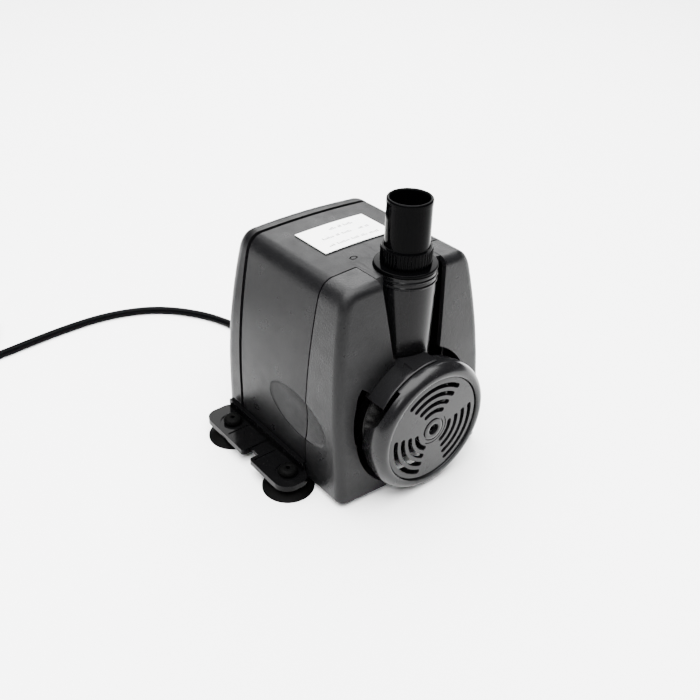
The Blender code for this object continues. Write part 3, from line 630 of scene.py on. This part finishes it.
def make_shells():
    opening = turned([(OPENING_RADIUS, -60.0), (OPENING_RADIUS, OPENING_DEPTH)], around_y, DIAL_AXIS, 128,
                     False)
    piece("front_casing_shell", body_solid(SEAM_Y, front_y, -1, FRONT_ROUND, 0.0), grained(), "casing",
          ["front_casing"],
          [(CUT, body_solid(SEAM_Y + 6.0, front_y, -1, FRONT_ROUND - 1.6, CASING_WALL, False)),
           (CUT, opening),
           (CUT, sector_sweep(139.0, 182.0, 24, port_pocket)),
           (CUT, prism(channel_outline(), -60.0, SEAM_Y + 4.0, "y")),
           (CUT, oval_dish())],
          bevel=0.4)

    loop = body_loop(0.0)
    start = SEAM_Y + SEAM_GAP
    face = -12.2
    inner = body_loop(HOUSING_WALL)
    well = 12.2
    half = CHANNEL[0][1] + (CHANNEL[1][1] - CHANNEL[0][1]) * 4.0 / 45.0 - 0.45
    high = CHANNEL[1][1] - 0.5
    tongue = [(PIPE_X - half, 66.0), (PIPE_X + half, 66.0), (PIPE_X + high, 104.8)]
    tongue += [(PIPE_X + high - high * k / 8, top_height(PIPE_X + high - high * k / 8)) for k in range(17)]
    tongue.append((PIPE_X - high, 104.8))
    saddle = [(PIPE_RADIUS + 0.7, 40.0), (PIPE_RADIUS + 0.7, 130.0)]
    barrel = skin([[(x, y, z) for x, z in loop] for y in (start, GROOVE_Y - GROOVE_EASE[0])])
    piece("motor_housing_shell", barrel, satin(), "pump_body", ["motor_housing"],
          [(CUT, skin([[(x, y, z) for x, z in inner] for y in (start - 5.0, face)])),
           (CUT, skin([[(x, y, z) for x, z in inner] for y in (face + 2.6, GROOVE_Y + 5.0)])),
           (ADD, prism(tongue, -28.5, face + 1.2, "y")),
           (ADD, turned([(well + 1.6, face + 1.0), (well + 1.6, 29.1)], around_y, DIAL_AXIS, 64, False)),
           (CUT, turned([(well, face - 6.0), (well, 27.5)], around_y, DIAL_AXIS, 64, False)),
           (CUT, turned(saddle, around_z, (PIPE_X, PIPE_Y), 96, False)),
           (CUT, oval_dish()),
           (CUT, moulded_mark())],
          bevel=0.3)

    start = GROOVE_Y + GROOVE_WIDTH + GROOVE_EASE[1]
    piece("rear_cover_shell", body_solid(start, rear_y, 1, REAR_ROUND, 0.0), satin(), "pump_body",
          ["rear_cover"],
          [(CUT, body_solid(start - 6.0, rear_y, 1, REAR_ROUND - 1.6, HOUSING_WALL, False)),
           (CUT, turned([(4.6, 40.0), (4.6, 60.0)], around_y, CORD_EXIT, 40, False))],
          bevel=0.4)


def make_rear_seal():
    """Rubber ring, deep in the groove between housing and cover."""
    outer, inner = body_loop(2.6), body_loop(HOUSING_WALL + 1.4)
    low, high = GROOVE_Y + GAP, GROOVE_Y + GROOVE_WIDTH - GAP
    corners = ((low, outer), (high, outer), (high, inner), (low, inner))
    rings = [[(x, y, z) for x, z in loop] for y, loop in corners]
    piece("rear_seal_ring", skin(rings, closed=True), rubber(), "pump_body", ["rear_seal"],
          bevel=0.15)


make_shells()
make_rear_seal()


# -------------------------------------------------------------------- label

def draped(x0, x1, y0, y1, low, high, steps):
    """Flat strip that follows the crown of the top, between two heights above it."""
    xs = [x0 + (x1 - x0) * k / steps for k in range(steps + 1)]
    outline = [(x, top_height(x) + low) for x in xs] + [(x, top_height(x) + high) for x in reversed(xs)]
    return prism(outline, y0, y1, "y")


def make_label():
    """White film with rows of plain strokes that stand for print and spell nothing."""
    film = surface("label_film", (0.86, 0.86, 0.84), 0.34, bump=0.06, vary=0.03, grain=500.0)
    print_ink = surface("label_print", (0.02, 0.02, 0.022), 0.5, specular=0.2, bump=0.1, vary=0.2)
    parts = [(0, draped(-20.5, 18.8, 1.3, 24.6, GAP, GAP + 0.33, 24))]
    rows = (
        (18.4, 2.1, ((-5.0, 4.2), (0.4, 2.0), (3.6, 5.4))),
        (11.8, 1.8, ((-13.5, 6.4), (-5.8, 2.0), (-2.4, 5.6), (7.0, 3.0), (11.2, 2.4))),
        (4.9, 1.8, ((-15.0, 3.4), (-10.4, 7.0), (-2.2, 4.2), (3.4, 3.6), (8.2, 5.6))),
    )
    for y, tall, words in rows:
        for x, wide in words:
            count = max(2, round(wide / 1.1))
            for k in range(count):
                left = x + wide * k / count
                stroke = tall * (0.55 + 0.45 * ((k * 7 + round(x * 3)) % 3) / 2.0)
                parts.append((1, draped(left, left + 0.56, y, y + stroke, GAP + 0.32, GAP + 0.35, 1)))
    piece("rating_label_sticker", joined(*parts), (film, print_ink), "pump_body", ["rating_label"])


make_label()


# --------------------------------------------------------- pipe and nozzle

def make_pipe():
    drum = [(26.4, -36.0), (27.0, -35.4), (27.0, -14.0)]
    pipe = [(PIPE_RADIUS - 0.8, 50.0), (PIPE_RADIUS, 99.0)]
    for z in (101.5, 104.1):
        pipe += [(PIPE_RADIUS + 0.42 * math.sin(math.pi * k / 6), z - 0.7 + 1.4 * k / 6) for k in range(7)]
    pipe += [(PIPE_RADIUS, PIPE_TOP - 0.3), (PIPE_RADIUS - 0.3, PIPE_TOP)]
    bore = [(9.2, 46.0), (9.2, 92.0), (10.6, 92.6), (10.6, 120.0)]
    arms = []
    for arm in range(3):
        turn = 90.0 + 120.0 * arm
        out = Vector((math.cos(math.radians(turn)), math.sin(math.radians(turn))))
        side = Vector((-out.y, out.x))
        for reach, offset in ((4.6, -1.0), (10.2, -1.0), (10.2, 1.0), (4.6, 1.0)):
            point = out * reach + side * offset
            arms.append((point.x, point.y + AXIS_Z))
        arms.extend(arc(DIAL_AXIS, 4.7, turn + 30.0, turn + 90.0, 6))
    finish = surface("pipe_black", (0.002, 0.002, 0.0022), 0.2, specular=0.07, grain=1700.0, bump=0.04,
                     rough_vary=0.06, specks=0.1)
    piece("pump_chamber_shell", turned(drum, around_y, DIAL_AXIS, 96, False), finish, "pump_body",
          ["pump_chamber_cover"],
          [(ADD, turned(pipe, around_z, (PIPE_X, PIPE_Y), 96, False)),
           (CUT, box((-32.0, -14.0, 0.0), (32.0, -5.0, 62.4))),
           (CUT, turned([(24.8, -33.8), (24.8, -2.0)], around_y, DIAL_AXIS, 96, False)),
           (CUT, turned(bore, around_z, (PIPE_X, PIPE_Y), 64, False)),
           (CUT, turned([(9.0, -41.0), (9.0, -30.0)], around_y, DIAL_AXIS, 48, False)),
           (ADD, prism(arms, -35.8, -34.0, "y")),
           (CUT, turned([(3.3, -41.0), (3.3, -27.0)], around_y, DIAL_AXIS, 32, False))],
          bevel=0.25)


def make_nozzle():
    top = NOZZLE_TOP
    low = PIPE_TOP + GAP
    high = low + 1.6
    knurl_top = top - 21.7
    profile = [(8.3, top - 1.2)]
    profile += [(9.25 + 0.95 * math.cos(math.radians(t)), top - 0.95 + 0.95 * math.sin(math.radians(t)))
                for t in (180, 150, 120, 90)]
    profile += [(9.25 + 0.75 * math.cos(math.radians(t)), top - 0.95 + 0.95 * math.sin(math.radians(t)))
                for t in (60, 30, 0)]
    profile += [
        (9.95, top - 2.6), (9.82, top - 3.0), (9.88, top - 14.0), (9.88, knurl_top + 0.5), (10.1, knurl_top),
        (10.9, knurl_top - 0.15), (11.05, knurl_top - 0.5), (10.95, high + 0.2), (11.3, high),
        (13.7, high), (14.1, high - 0.25), (14.2, high - 0.7), (14.1, low + 0.2), (13.8, low),
        (10.2, low), (10.2, 94.8), (9.9, 94.5), (8.3, 94.5),
    ]
    base = turned(profile, around_z, (PIPE_X, PIPE_Y), 132)
    teeth = 44
    ribs = []
    for height, radius in ((high + 0.1, 10.95), (high + 0.5, 11.45), (knurl_top - 1.0, 11.45),
                           (knurl_top - 0.45, 11.0)):
        ring = []
        for tooth in range(teeth):
            for part, share in ((0.0, 0.0), (0.2, 0.75), (0.4, 1.0), (0.6, 0.75), (0.8, 0.0)):
                reach = 10.75 + (radius - 10.75) * share
                ring.append(around_z(reach, height, 2.0 * math.pi * (tooth + part) / teeth, (PIPE_X, PIPE_Y)))
        ribs.append(ring)
    piece("outlet_nozzle_tube", joined((0, base), (0, skin(ribs))), (gloss(),), "nozzle", ["outlet_nozzle"],
          sharp=40.0)


make_pipe()
make_nozzle()


# ---------------------------------------------------------- collar and dial

COLLAR = (33.4, 34.2)
SLOT_CENTRES = (92.0, 212.0, 332.0)
SLOT_ROWS = ((22.9, 75.0), (18.6, 72.0), (14.3, 66.0), (10.1, 57.0))
SLOT_WIDTH = 2.4


def side_port(turn):
    edge = ((126.0, -50.6), (146.0, -50.2), (157.0, -49.0), (169.0, -40.5))
    front = between(edge, turn)
    return [(22.0, front), (40.0, front), (40.0, -36.0), (22.0, -36.0)]


def make_collar():
    inner, outer = COLLAR
    wall = sector_sweep(84.0, 143.0, 48, lambda turn: [
        (inner, -48.3), (inner + 0.25, -48.6), (outer - 0.3, -48.5), (outer, -47.9), (outer, -36.6),
        (inner, -36.6)])
    root = sector_sweep(85.0, 142.0, 40, lambda turn: [
        (31.4, -38.2), (outer - 0.2, -38.2), (outer - 0.2, -36.8), (31.4, -36.8)])
    notch = skin([[around_y(r, y, math.radians(turn), DIAL_AXIS) for turn, y in
                   ((105.0, -40.8), (116.0, -46.2), (105.5, -46.4))] for r in (outer - 0.45, 37.0)])
    relief = [(PIPE_RADIUS + 0.4, 40.0), (PIPE_RADIUS + 0.4, 90.0)]
    finish = surface("collar_black", (0.004, 0.004, 0.0043), 0.22, specular=0.1, grain=1500.0, bump=0.1,
                     rough_vary=0.05, specks=0.05)
    piece("port_collar_gate", wall, finish, "casing", ["port_collar"],
          [(ADD, root), (CUT, turned(relief, around_z, (PIPE_X, PIPE_Y), 96, False)), (CUT, notch)],
          bevel=0.12)


def make_dial():
    front = DIAL_FRONT
    profile = [
        (27.1, front + 0.9), (27.15, front + 0.55), (27.45, front + 0.25), (28.0, front + 0.07),
        (28.8, front), (29.6, front + 0.1), (30.4, front + 0.5), (31.2, front + 1.15), (31.9, front + 2.0),
        (32.45, front + 3.0), (32.8, front + 4.1), (32.97, front + 5.2), (33.0, front + 6.2),
        (32.95, front + 7.2), (32.6, front + 9.0), (32.1, front + 11.2), (31.65, -41.3), (31.4, -41.0),
        (29.8, -41.0), (30.4, front + 7.0), (29.4, front + 4.4), (27.1, front + 3.4),
    ]
    finish = surface("dial_black", (0.004, 0.004, 0.0043), 0.24, specular=0.15, grain=1500.0, bump=0.06,
                     rough_vary=0.06, specks=0.06)
    piece("flow_dial_cap", turned(profile, around_y, DIAL_AXIS, 144), finish, "dial", ["flow_dial"],
          [(CUT, sector_sweep(126.0, 169.0, 24, side_port))], bevel=0.3, sharp=38.0)

    face = front + 1.1
    disc = [(2.75, face + 0.15), (2.9, face - 0.25), (3.2, face - 0.35), (4.9, face - 0.35),
            (5.3, face - 0.2), (5.45, face + 0.4), (5.95, face + 0.4), (6.1, face), (26.3, face),
            (26.65, face + 0.15),
            (26.8, face + 0.5), (26.8, face + 2.0), (2.75, face + 2.0)]
    steps = []
    ring = arc(DIAL_AXIS, 7.9, -125.0, 35.0, 32) + arc(DIAL_AXIS, 7.4, 35.0, -125.0, 32)
    steps.append((CUT, prism(ring, face - 1.0, face + 0.45, "y")))
    for middle_turn in SLOT_CENTRES:
        for radius, span in SLOT_ROWS:
            steps.append((CUT, slot_tool(radius, middle_turn - span / 2.0, middle_turn + span / 2.0)))
    piece("dial_grille_disc", turned(disc, around_y, DIAL_AXIS, 144), finish, "dial", ["dial_grille"],
          steps, bevel=0.22, sharp=38.0)

    rivet = [(1.0, front + 2.2), (1.2, front + 1.9), (1.9, front + 1.9), (2.2, front + 2.3),
             (2.2, front + 5.8), (1.0, front + 5.8)]
    piece("dial_pivot_rivet", turned(rivet, around_y, DIAL_AXIS, 48), gloss(), "dial", ["dial_pivot"])


def slot_tool(radius, start, end):
    half = SLOT_WIDTH / 2.0
    outline = arc(DIAL_AXIS, radius + half, start, end, 28)
    tip = arc(DIAL_AXIS, radius, end, end, 1)[0]
    outline += arc(tip, half, end, end + 180.0, 10)[1:-1]
    outline += arc(DIAL_AXIS, radius - half, end, start, 28)
    tail = arc(DIAL_AXIS, radius, start, start, 1)[0]
    outline += arc(tail, half, start + 180.0, start + 360.0, 10)[1:-1]
    return prism(outline, DIAL_FRONT - 3.0, DIAL_FRONT + 6.0, "y")


make_collar()
make_dial()


# -------------------------------------------------------- feet and their cups

CUP_X = 53.0
CUP_PLACES = (("front", -13.5), ("rear", 34.5))


def make_feet():
    """A bracket along each side, and the suction cups clipped into it."""
    for side, sign in (("left", -1), ("right", 1)):
        def across(outline, sign=sign):
            return [(sign * x, y) for x, y in outline]

        rail = rounded_rectangle(45.2, 47.8, -17.0, 46.0, (0.4, 0.4, 0.2, 0.2), 3)
        rear = rounded_rectangle(46.0, 62.0, 12.0, 48.0, (1.2, 6.5, 3.0, 1.0))
        front = rounded_rectangle(46.0, 62.6, -23.5, 5.2, (7.4, 1.4, 1.0, 6.0))
        bridge = [(47.0, 4.0), (57.0, 4.0), (57.0, 13.0), (47.0, 13.0)]
        steps = [(ADD, prism(across(outline), 5.5, 8.4, "z")) for outline in (rear, front)]
        for x1, y0, y1 in ((60.6, 16.6, 27.4), (61.2, -4.6, 3.4)):
            pad = rounded_rectangle(48.6, x1, y0, y1, (0.8, 0.8, 0.8, 0.8), 4)
            steps.append((CUT, prism(across(pad), 7.9, 12.0, "z")))
        steps.append((ADD, prism(across(bridge), 5.6, 7.6, "z")))
        for _, y in reversed(CUP_PLACES):
            centre = (sign * CUP_X, y)
            steps.append((CUT, turned([(6.3, 7.9), (6.3, 12.0)], around_z, centre, 48, False)))
            steps.append((CUT, turned([(3.4, 0.0), (3.4, 20.0)], around_z, centre, 32, False)))
        piece(f"foot_{side}_bracket", prism(across(rail), 5.4, 13.0, "z"), glossy_foot(), "pump_body",
              [f"foot_{side}"], steps, bevel=0.3)

        for place, y in CUP_PLACES:
            profile = [
                (12.5, 0.05), (12.5, 0.5), (12.1, 0.8), (10.6, 1.5), (8.6, 2.5), (7.0, 3.4), (5.4, 4.3),
                (3.4, 4.9), (2.9, 5.3), (2.9, 8.5), (4.2, 8.55), (4.65, 8.9), (4.6, 9.9), (4.1, 10.7),
                (3.4, 10.95), (2.6, 11.1), (1.3, 11.2), (1.0, 11.0), (1.0, 3.6), (6.0, 2.0), (10.9, 0.0),
                (12.2, 0.0),
            ]
            cup = turned(profile, around_z, (sign * CUP_X, y), 64)
            piece(f"suction_cup_{place}_{side}_soft", cup, rubber(), "pump_body",
                  [f"suction_cup_{place}_{side}"], sharp=40.0)


make_feet()


# ----------------------------------------------------- strain relief and plug

def make_gland():
    profile = [(2.5, 50.2), (4.2, 50.2), (4.2, 55.0), (6.4, 55.1), (6.6, 55.4), (6.6, 57.0), (6.3, 57.3)]
    y = 57.6
    while y < 77.0:
        share = (y - 57.4) / 20.6
        radius = 4.3 - 1.4 * share
        profile += [(radius, y), (radius, y + 1.0), (radius - 0.45, y + 1.15), (radius - 0.45, y + 1.6)]
        y += 1.75
    profile += [(2.9, 77.4), (2.7, 78.0), (2.5, 78.0)]
    piece("cord_gland_boot", turned(profile, around_y, CORD_EXIT, 48), rubber(), "pump_body",
          ["cord_gland"], sharp=40.0)


def make_plug():
    low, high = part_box("plug_body")
    x = (low.x + high.x) / 2.0 / MM
    z = (low.z + high.z) / 2.0 / MM
    y0, y1 = low.y / MM, high.y / MM
    rings = []
    for share, half_x, half_z in ((0.0, 3.4, 3.4), (0.1, 4.0, 4.0), (0.22, 5.4, 5.0), (0.36, 9.5, 6.0),
                                  (0.48, 14.6, 6.5), (0.58, 16.6, 6.7), (0.7, 17.0, 6.75), (0.9, 17.0, 6.75),
                                  (0.97, 16.6, 6.4), (1.0, 15.8, 5.8)):
        ring = []
        for k in range(48):
            turn = 2.0 * math.pi * k / 48
            power = 0.55
            cx, cz = math.cos(turn), math.sin(turn)
            ring.append((x + half_x * math.copysign(abs(cx) ** power, cx), y0 + (y1 - y0) * share,
                         z + half_z * math.copysign(abs(cz) ** power, cz)))
        rings.append(ring)
    steps = []
    for k in range(5):
        y = y0 + (y1 - y0) * (0.6 + 0.055 * k)
        for side in (-1, 1):
            low_corner = (x + side * 16.2 - 1.0, y, z - 5.0)
            high_corner = (x + side * 17.6 + 1.0, y + 0.8, z + 5.0)
            steps.append((CUT, box(low_corner, high_corner)))
    piece("plug_grip", skin(rings), satin(), "pump_body", ["plug_body"], steps, bevel=0.2)
    nickel = surface("plated_pin", (0.66, 0.65, 0.62), 0.22, 1.0, bump=0.05, vary=0.05)
    for side in ("left", "right"):
        low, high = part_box(f"plug_pin_{side}")
        mid_x = (low.x + high.x) / 2.0 / MM
        start, end = low.y / MM, high.y / MM
        radius = (high.x - low.x) / 2.0 / MM
        pin = [(radius, start), (radius, start + 8.0), (radius - 0.2, start + 8.1), (radius - 0.2, end - 2.0),
               (radius - 0.45, end - 0.7), (radius - 1.0, end - 0.1), (0.3, end)]
        piece(f"plug_pin_{side}_blade", turned(pin, around_y, (mid_x, z), 32, False), nickel, "pump_body",
              [f"plug_pin_{side}"], sharp=40.0)


make_gland()
make_plug()
cord.data.materials.append(sheath())
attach(cord, "pump_body")
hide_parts("mains_cord", "cord_tail", "cord_coil")
print("cord length", round(length_of(path), 3))


# ------------------------------------------------------------------- studio

FLOOR_HALF_SIZE = 3.0
FLOOR_WHITE = (0.94, 0.94, 0.94, 1.0)


def studio():
    """Pale floor, a sky that is dark near the horizon, and three softboxes."""
    mesh = bpy.data.meshes.new("floor")
    made = bmesh.new()
    bmesh.ops.create_grid(made, x_segments=1, y_segments=1, size=FLOOR_HALF_SIZE)
    made.to_mesh(mesh)
    made.free()
    paint = bpy.data.materials.new("floor_paint")
    paint.use_nodes = True
    shader = paint.node_tree.nodes["Principled BSDF"]
    shader.inputs["Base Color"].default_value = FLOOR_WHITE
    shader.inputs["Roughness"].default_value = 0.7
    floor = link("floor", mesh, paint)

    world = bpy.data.worlds.new("studio")
    world.use_nodes = True
    tree = world.node_tree
    place = tree.nodes.new("ShaderNodeTexCoord").outputs["Generated"]
    split = tree.nodes.new("ShaderNodeSeparateXYZ")
    tree.links.new(place, split.inputs[0])
    rise = tree.nodes.new("ShaderNodeMapRange")
    rise.interpolation_type = "SMOOTHSTEP"
    for name, value in (("From Min", 0.6), ("From Max", 0.95), ("To Min", 0.03), ("To Max", 4.5)):
        rise.inputs[name].default_value = value
    tree.links.new(split.outputs["Z"], rise.inputs["Value"])
    tree.links.new(rise.outputs["Result"], tree.nodes["Background"].inputs["Strength"])
    tree.nodes["Background"].inputs["Color"].default_value = (1.0, 1.0, 1.0, 1.0)
    bpy.context.scene.world = world

    def softbox(name, place, target, width, height, power):
        data = bpy.data.lights.new(name, "AREA")
        data.shape = "RECTANGLE"
        data.size = width
        data.size_y = height
        data.energy = power
        lamp = bpy.data.objects.new(name, data)
        lamp.location = place
        lamp.rotation_euler = (Vector(target) - Vector(place)).to_track_quat("-Z", "Y").to_euler()
        bpy.context.scene.collection.objects.link(lamp)

    softbox("top_softbox", (-0.1, 0.1, 1.5), (-0.05, 0.05, 0.0), 2.0, 2.0, 175.0)
    softbox("back_softbox", (0.95, 1.05, 0.95), (0.0, 0.0, 0.08), 1.3, 0.8, 32.0)
    softbox("front_left_softbox", (-0.7, -0.6, 0.9), (0.0, 0.0, 0.05), 0.3, 0.3, 6.0)


studio()
